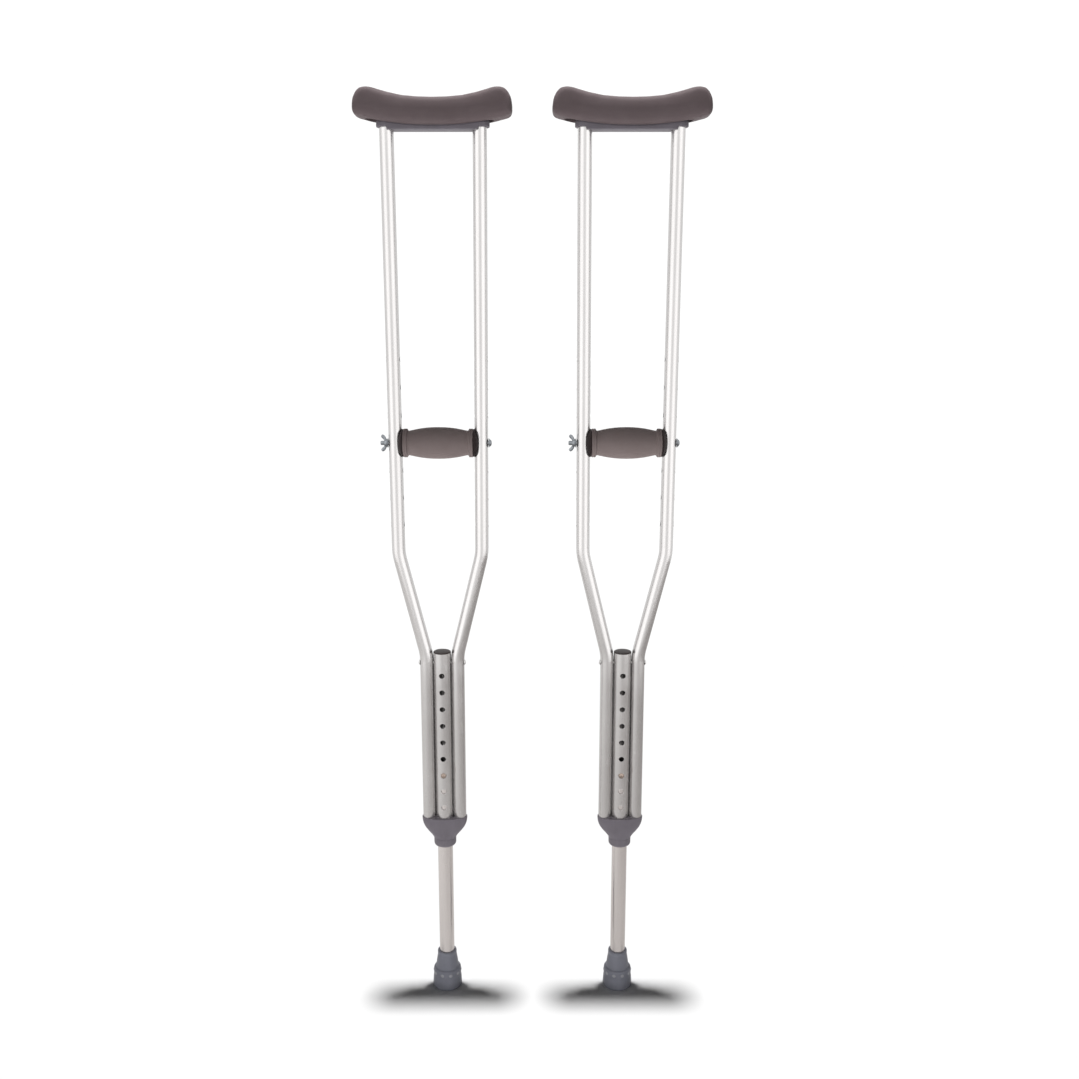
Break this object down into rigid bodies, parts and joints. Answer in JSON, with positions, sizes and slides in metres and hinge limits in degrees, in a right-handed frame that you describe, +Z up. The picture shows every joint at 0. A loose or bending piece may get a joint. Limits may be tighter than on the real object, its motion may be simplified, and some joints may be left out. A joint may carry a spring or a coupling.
{
  "type": "underarm crutches",
  "caption": "Aluminium underarm crutches with padded tops, bolted hand grips, telescoping push-button legs and flared rubber tips.",
  "frame": {"origin": "on the floor, midway between the two rubber tips", "axes": "+Z up, X across the uprights with the wing nuts on the -X side, the front buttons towards -Y"},
  "size_m": [0.4688, 0.0438, 1.2944],
  "materials": {
    "pad_foam": "matte foam",
    "grip_foam": "matte foam",
    "grey_plastic": "matte moulded",
    "dark_plastic": "matte moulded",
    "plug_plastic": "matte moulded",
    "tip_rubber": "matte rubber",
    "tube_aluminium": "satin anodised",
    "leg_aluminium": "satin anodised",
    "rivet_aluminium": "satin",
    "zinc_steel": "zinc plated",
    "spring_steel": "spring steel",
    "button_metal": "plated"
  },
  "bodies": {
    "left_frame": {"left_underarm_pad": "pad_foam", "left_pad_base": "grey_plastic", "left_base_screws": "zinc_steel", "left_nut_side_upright": "tube_aluminium", "left_head_side_upright": "tube_aluminium", "left_centre_tube": "tube_aluminium", "left_centre_plug": "plug_plastic", "left_cross_rivet": "rivet_aluminium", "left_collar": "grey_plastic"},
    "left_leg": {"left_leg_tube": "leg_aluminium", "left_snap_spring": "spring_steel", "left_tip": "tip_rubber", "left_tip_washer": "zinc_steel"},
    "left_front_button": {"left_front_button": "button_metal"},
    "left_rear_button": {"left_rear_button": "button_metal"},
    "left_grip": {"left_grip_core": "dark_plastic", "left_grip_sleeve": "grip_foam", "left_nut_side_saddle": "dark_plastic", "left_head_side_saddle": "dark_plastic", "left_grip_bolt": "zinc_steel", "left_head_washer": "zinc_steel"},
    "left_nut_washer": {"left_nut_washer": "zinc_steel"},
    "left_wing_nut": {"left_wing_nut": "zinc_steel"},
    "right_frame": {"right_underarm_pad": "pad_foam", "right_pad_base": "grey_plastic", "right_base_screws": "zinc_steel", "right_nut_side_upright": "tube_aluminium", "right_head_side_upright": "tube_aluminium", "right_centre_tube": "tube_aluminium", "right_centre_plug": "plug_plastic", "right_cross_rivet": "rivet_aluminium", "right_collar": "grey_plastic"},
    "right_leg": {"right_leg_tube": "leg_aluminium", "right_snap_spring": "spring_steel", "right_tip": "tip_rubber", "right_tip_washer": "zinc_steel"},
    "right_front_button": {"right_front_button": "button_metal"},
    "right_rear_button": {"right_rear_button": "button_metal"},
    "right_grip": {"right_grip_core": "dark_plastic", "right_grip_sleeve": "grip_foam", "right_nut_side_saddle": "dark_plastic", "right_head_side_saddle": "dark_plastic", "right_grip_bolt": "zinc_steel", "right_head_washer": "zinc_steel"},
    "right_nut_washer": {"right_nut_washer": "zinc_steel"},
    "right_wing_nut": {"right_wing_nut": "zinc_steel"}
  },
  "joints": [
    {"name": "left_leg_length", "type": "slide", "parent": "left_leg", "child": "left_frame", "axis": [0, 0, 1], "range_m": [-0.1524, 0.0508], "deforming": ["left_snap_spring", "left_front_button", "left_rear_button"]},
    {"name": "left_front_button_press", "type": "slide", "parent": "left_leg", "child": "left_front_button", "axis": [0, 1, 0], "range_m": [0, 0.0048], "stiffness_N_per_m": 1200, "springref_m": -0.003},
    {"name": "left_rear_button_press", "type": "slide", "parent": "left_leg", "child": "left_rear_button", "axis": [0, -1, 0], "range_m": [0, 0.0048], "stiffness_N_per_m": 1200, "springref_m": -0.003},
    {"name": "left_grip_height", "type": "slide", "parent": "left_frame", "child": "left_grip", "axis": [0, 0, 1], "range_m": [-0.1143, 0.1143]},
    {"name": "left_nut_travel", "type": "slide", "parent": "left_grip", "child": "left_nut_washer", "axis": [-1, 0, 0], "range_m": [0, 0.00625]},
    {"name": "left_wing_nut_turn", "type": "hinge", "parent": "left_nut_washer", "child": "left_wing_nut", "pos_m": [-0.2035, 0, 0.832], "axis": [-1, 0, 0], "range_deg": [0, 1801]},
    {"name": "right_leg_length", "type": "slide", "parent": "right_leg", "child": "right_frame", "axis": [0, 0, 1], "range_m": [-0.1524, 0.0508], "deforming": ["right_snap_spring", "right_front_button", "right_rear_button"]},
    {"name": "right_front_button_press", "type": "slide", "parent": "right_leg", "child": "right_front_button", "axis": [0, 1, 0], "range_m": [0, 0.0048], "stiffness_N_per_m": 1200, "springref_m": -0.003},
    {"name": "right_rear_button_press", "type": "slide", "parent": "right_leg", "child": "right_rear_button", "axis": [0, -1, 0], "range_m": [0, 0.0048], "stiffness_N_per_m": 1200, "springref_m": -0.003},
    {"name": "right_grip_height", "type": "slide", "parent": "right_frame", "child": "right_grip", "axis": [0, 0, 1], "range_m": [-0.1143, 0.1143]},
    {"name": "right_nut_travel", "type": "slide", "parent": "right_grip", "child": "right_nut_washer", "axis": [-1, 0, 0], "range_m": [0, 0.00625]},
    {"name": "right_wing_nut_turn", "type": "hinge", "parent": "right_nut_washer", "child": "right_wing_nut", "pos_m": [0.0565, 0, 0.832], "axis": [-1, 0, 0], "range_deg": [0, 1801]},
    {"name": "crutch_spacing", "type": "slide", "parent": "left_leg", "child": "right_leg", "axis": [1, 0, 0], "range_m": [0, 0.3]}
  ],
  "couplings": [
    {"joint": "left_wing_nut_turn", "follows": "left_nut_travel", "rad_per_m": 5026.5},
    {"joint": "right_wing_nut_turn", "follows": "right_nut_travel", "rad_per_m": 5026.5}
  ]
}
